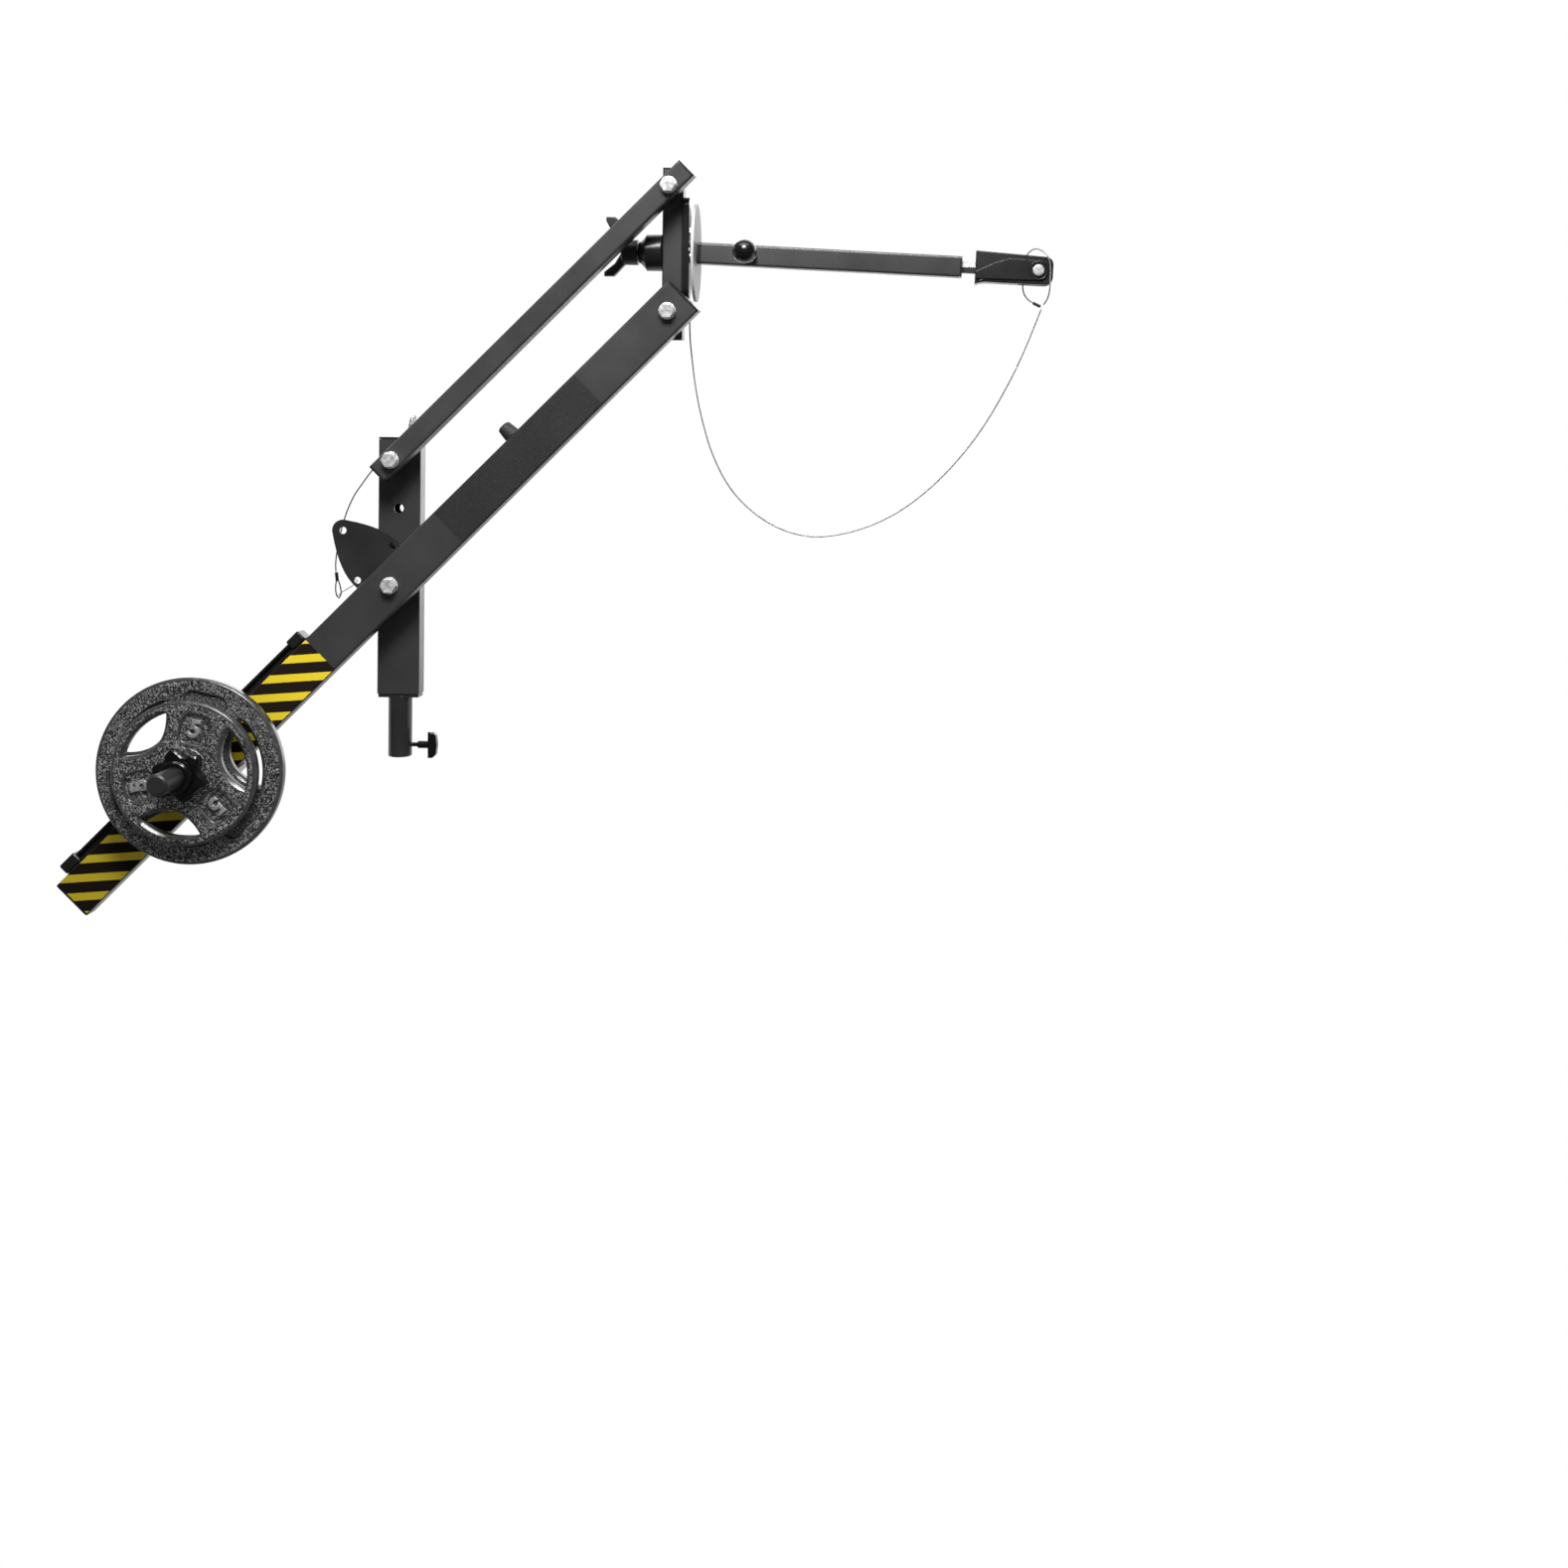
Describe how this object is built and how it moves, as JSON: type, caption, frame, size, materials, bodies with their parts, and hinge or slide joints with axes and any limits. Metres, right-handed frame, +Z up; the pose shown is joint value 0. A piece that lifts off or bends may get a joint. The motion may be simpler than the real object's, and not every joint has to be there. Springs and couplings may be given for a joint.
{
  "type": "overhead boom arm",
  "caption": "Counterweighted parallelogram boom arm with a levelling front upright, friction head, extension with tip grip, and plate weights on a sliding carriage.",
  "frame": {"origin": "centre of the bottom rim of the spigot receiver, on the spigot's axis", "axes": "+Z up along the mast, +X along the boom towards the tip, the arm's front side faces -Y"},
  "size_m": [1.182, 0.2156, 0.9092],
  "materials": {
    "powder_coat": "fine satin powder coat",
    "black_plastic": "moulded, lightly glossy",
    "black_rubber": "matte",
    "zinc": "bright zinc plate",
    "black_steel": "black oxide, satin",
    "cast_iron": "grey hammertone enamel",
    "grey_disc": "satin",
    "hazard_tape": "yellow and black striped vinyl",
    "cable_steel": "bright wire rope"
  },
  "bodies": {
    "mast": {"mast_tube": "powder_coat", "mast_top_cap": "black_plastic", "spigot_receiver": "black_steel", "main_pivot_bolt": "zinc", "main_pivot_nut": "zinc", "main_pivot_bush": "black_steel", "rear_link_bolt": "zinc", "rear_link_nut": "zinc", "rear_link_bush": "black_steel"},
    "receiver_knob": {"receiver_knob": "black_plastic"},
    "lock_pin": {"lock_pin": "black_steel", "lock_pin_ring": "cable_steel"},
    "boom": {"main_beam": "powder_coat", "beam_front_cap": "black_plastic", "beam_rear_cap": "black_plastic", "lock_plate": "powder_coat", "beam_bumper": "black_rubber", "weight_rail": "black_steel", "rail_stop_lower": "black_plastic", "rail_stop_upper": "black_plastic", "hazard_tape": "hazard_tape", "tether_eye": "black_steel", "tether_hook": "cable_steel", "tether_cable": "cable_steel"},
    "carriage": {"weight_carriage": "powder_coat", "weight_bar": "black_steel"},
    "carriage_knob": {"carriage_knob": "black_plastic"},
    "rear_plate": {"rear_weight_plate": "cast_iron"},
    "front_plate": {"front_weight_plate": "cast_iron"},
    "lobed_nut": {"lobed_nut": "black_plastic"},
    "link": {"upper_link": "powder_coat", "link_front_cap": "black_plastic", "link_rear_cap": "black_plastic"},
    "upright": {"front_upright": "powder_coat", "upright_top_cap": "black_plastic", "front_beam_bolt": "zinc", "front_beam_nut": "zinc", "front_beam_bush": "black_steel", "front_link_bolt": "zinc", "front_link_nut": "zinc", "front_link_bush": "black_steel", "spindle_housing": "black_steel", "head_plate": "black_steel", "head_bolt": "zinc", "head_screw": "zinc", "cable_anchor": "black_steel", "safety_cable": "cable_steel"},
    "clamp_handle": {"clamp_handle": "black_plastic"},
    "head": {"friction_disc": "grey_disc", "clamp_spindle": "black_steel", "head_socket": "black_steel"},
    "extension": {"extension_tube": "powder_coat", "extension_plug": "black_plastic", "hex_spigot": "zinc", "knob_collar": "zinc", "tip_head": "black_plastic", "tip_pin": "zinc", "safety_cable_loop": "cable_steel", "safety_cable_ferrule": "black_steel"},
    "ball_knob": {"ball_knob": "black_plastic"}
  },
  "joints": [
    {"name": "boom_tilt", "type": "hinge", "parent": "mast", "child": "boom", "pos_m": [0, 0, 0.2112], "axis": [0, -1, 0], "range_deg": [-85.3, 19.7], "deforming": ["tether_cable"]},
    {"name": "link_follow", "type": "hinge", "parent": "mast", "child": "link", "pos_m": [0, 0, 0.3607], "axis": [0, -1, 0], "range_deg": [-85.4, 19.8]},
    {"name": "upright_level", "type": "hinge", "parent": "boom", "child": "upright", "pos_m": [0.32708, 0, 0.54172], "axis": [0, -1, 0], "range_deg": [-19.8, 85.4]},
    {"name": "carriage_slide", "type": "slide", "parent": "boom", "child": "carriage", "axis": [0.7034, 0, 0.7108], "range_m": [-0.15, 0.13]},
    {"name": "carriage_knob_turn", "type": "hinge", "parent": "carriage", "child": "carriage_knob", "pos_m": [-0.2614, -0.0358, 0.03234], "axis": [-0.7108, 0, 0.7034], "range_deg": [-180, 180]},
    {"name": "rear_plate_spin", "type": "hinge", "parent": "carriage", "child": "rear_plate", "pos_m": [-0.22231, 0, -0.00634], "axis": [0, 1, 0], "continuous": true},
    {"name": "front_plate_spin", "type": "hinge", "parent": "carriage", "child": "front_plate", "pos_m": [-0.22231, 0, -0.00634], "axis": [0, 1, 0], "continuous": true},
    {"name": "lobed_nut_turn", "type": "hinge", "parent": "carriage", "child": "lobed_nut", "pos_m": [-0.22231, 0, -0.00634], "axis": [0, 1, 0], "continuous": true},
    {"name": "clamp_handle_turn", "type": "hinge", "parent": "upright", "child": "clamp_handle", "pos_m": [0.32708, 0, 0.61497], "axis": [1, 0, 0], "range_deg": [-15, 15]},
    {"name": "head_roll", "type": "hinge", "parent": "upright", "child": "head", "pos_m": [0.32708, 0, 0.61497], "axis": [1, 0, 0], "range_deg": [-90, 90]},
    {"name": "reach_slide", "type": "slide", "parent": "head", "child": "extension", "axis": [0.9992, 0, -0.0401], "range_m": [0, 0.04]},
    {"name": "ball_knob_turn", "type": "hinge", "parent": "extension", "child": "ball_knob", "pos_m": [0.42005, -0.06, 0.61219], "axis": [0, 1, 0], "range_deg": [-180, 180]},
    {"name": "receiver_knob_turn", "type": "hinge", "parent": "mast", "child": "receiver_knob", "pos_m": [0.03, 0, 0.014], "axis": [1, 0, 0], "range_deg": [-180, 180]},
    {"name": "lock_pin_pull", "type": "slide", "parent": "mast", "child": "lock_pin", "axis": [0, 0, 1], "range_m": [0, 0.03]}
  ],
  "couplings": [
    {"joint": "link_follow", "follows": "boom_tilt", "ratio": 1},
    {"joint": "upright_level", "follows": "boom_tilt", "ratio": -1}
  ]
}
